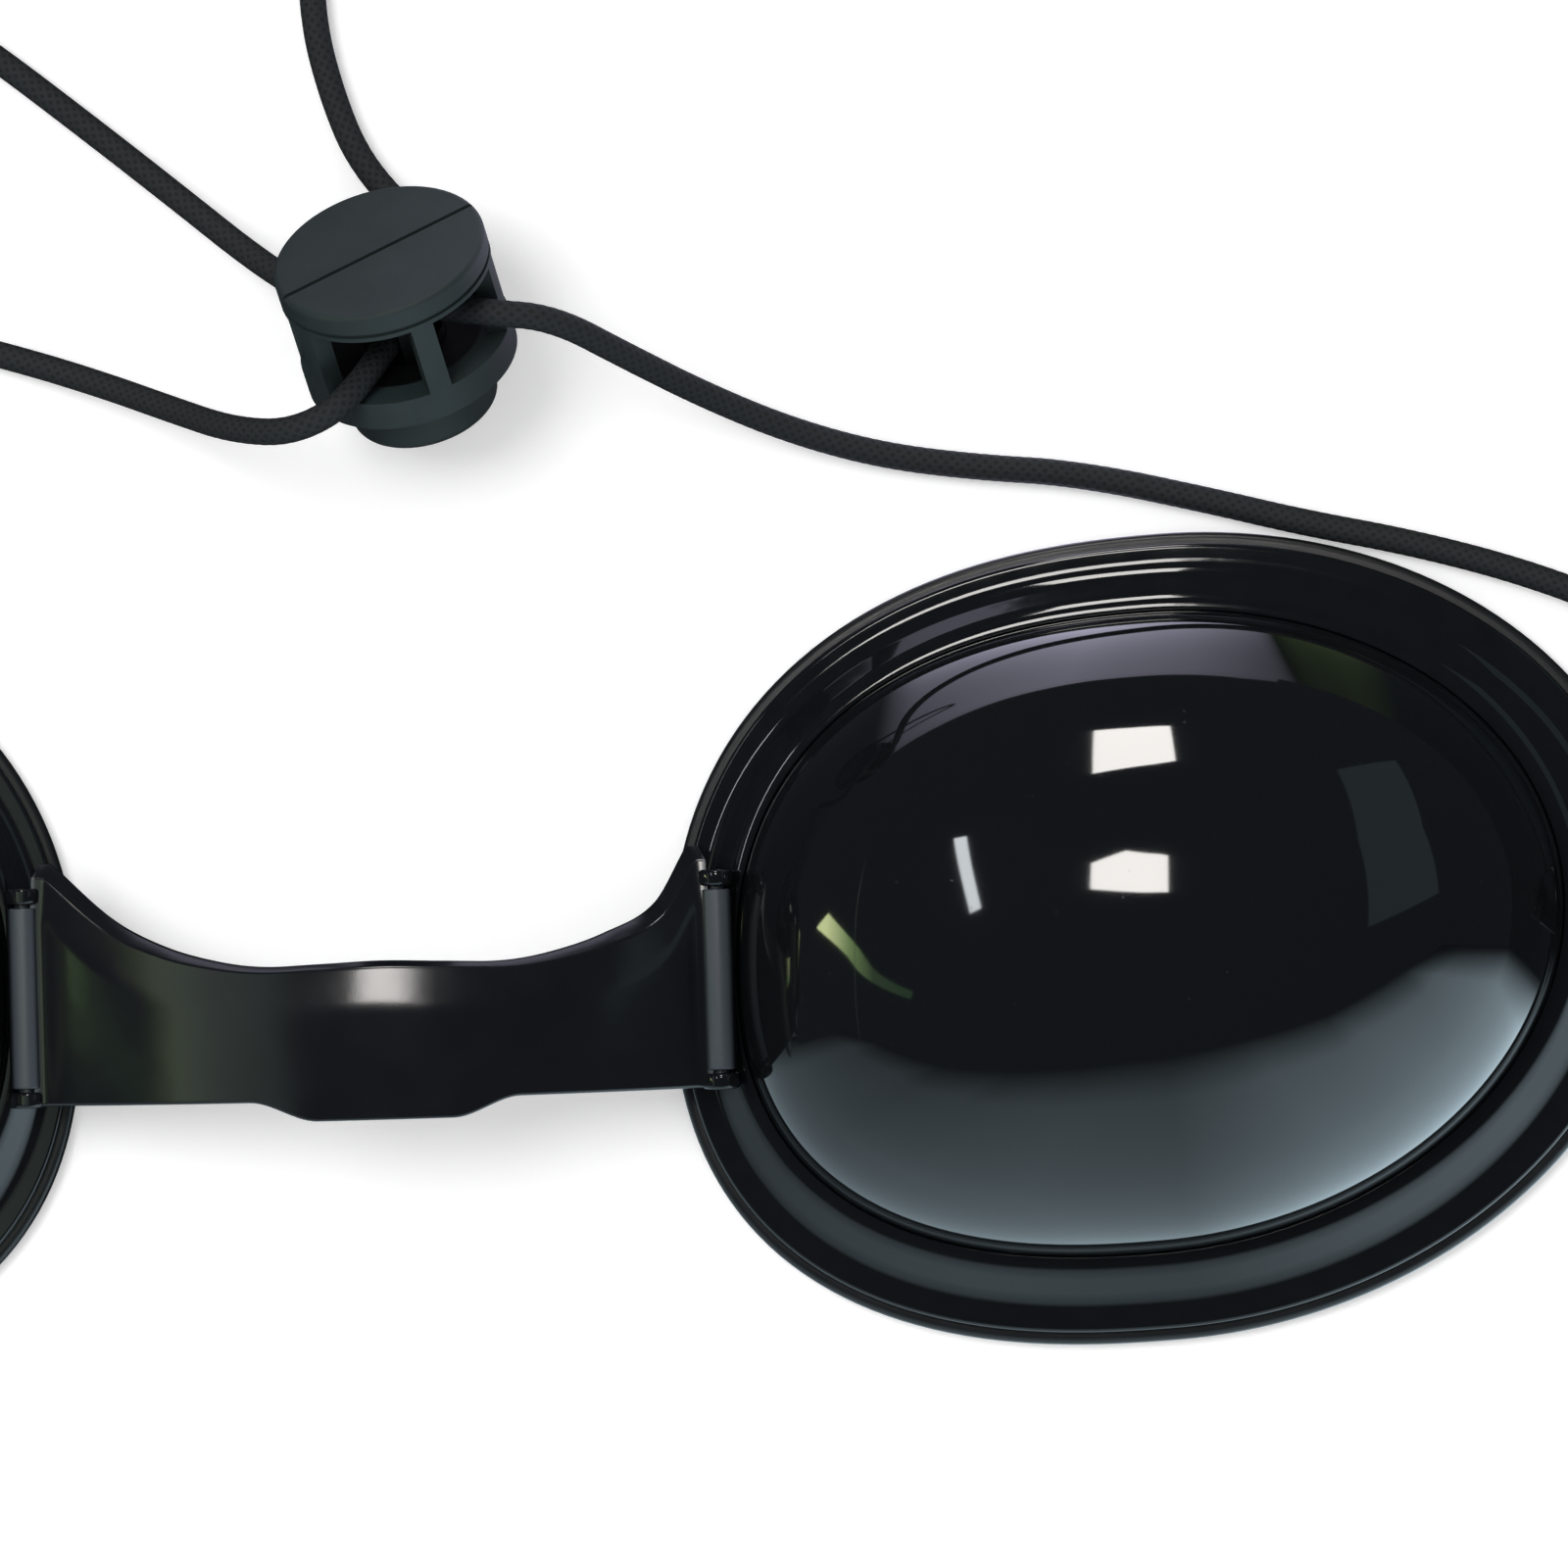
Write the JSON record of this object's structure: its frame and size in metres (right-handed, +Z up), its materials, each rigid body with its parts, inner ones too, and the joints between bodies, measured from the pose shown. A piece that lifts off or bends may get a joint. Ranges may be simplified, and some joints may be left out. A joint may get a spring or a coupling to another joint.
{
  "type": "tanning goggles",
  "caption": "Opaque domed eye cups hinged to an arched nose bridge, with a thin elastic head cord and a round sprung cord lock.",
  "frame": {"origin": "midway between the two eye cups, at the level of the table that the face seals lie on", "axes": "+X to the right-hand eye cup, +Y towards the cord lock, +Z up, out of the domes"},
  "size_m": [0.1532, 0.1276, 0.0162],
  "materials": {
    "dome_gloss": "polished opaque black",
    "frame_gloss": "glossy black moulding",
    "seal_rubber": "smooth black silicone",
    "bridge_rubber": "satin black soft moulding",
    "pin_plastic": "satin dark plastic",
    "elastic_cord": "tight woven elastic cover",
    "lock_matte": "matte dark grey moulding",
    "spring_steel": "plain spring wire"
  },
  "bodies": {
    "bridge": {"nose_bridge": "bridge_rubber", "right_cord_outer": "elastic_cord", "right_cord_inner": "elastic_cord", "cord_loop": "elastic_cord", "left_cord_inner": "elastic_cord", "left_cord_outer": "elastic_cord"},
    "right_cup": {"right_dome": "dome_gloss", "right_cup_frame": "frame_gloss", "right_face_seal": "seal_rubber", "right_hinge_pin": "pin_plastic", "right_cord_knot": "elastic_cord"},
    "left_cup": {"left_dome": "dome_gloss", "left_cup_frame": "frame_gloss", "left_face_seal": "seal_rubber", "left_hinge_pin": "pin_plastic", "left_cord_knot": "elastic_cord"},
    "cord_lock": {"lock_barrel": "lock_matte", "lock_spring": "spring_steel"},
    "lock_button": {"lock_plunger": "lock_matte"}
  },
  "joints": [
    {"name": "right_cup_hinge", "type": "hinge", "parent": "bridge", "child": "right_cup", "pos_m": [0.01935, -0.00147, 0.00475], "axis": [0, 1, 0], "range_deg": [-20, 25], "deforming": ["right_cord_outer"]},
    {"name": "left_cup_hinge", "type": "hinge", "parent": "bridge", "child": "left_cup", "pos_m": [-0.01935, -0.00147, 0.00475], "axis": [0, -1, 0], "range_deg": [-20, 25], "deforming": ["left_cord_outer"]},
    {"name": "lock_slide", "type": "slide", "parent": "bridge", "child": "cord_lock", "axis": [0, 1, 0], "range_m": [0, 0.015], "deforming": ["right_cord_inner", "left_cord_inner", "cord_loop"]},
    {"name": "button_press", "type": "slide", "parent": "cord_lock", "child": "lock_button", "axis": [-0.1967, 0.7518, 0.6293], "range_m": [0, 0.0011], "stiffness_N_per_m": 400, "deforming": ["lock_spring"]}
  ]
}
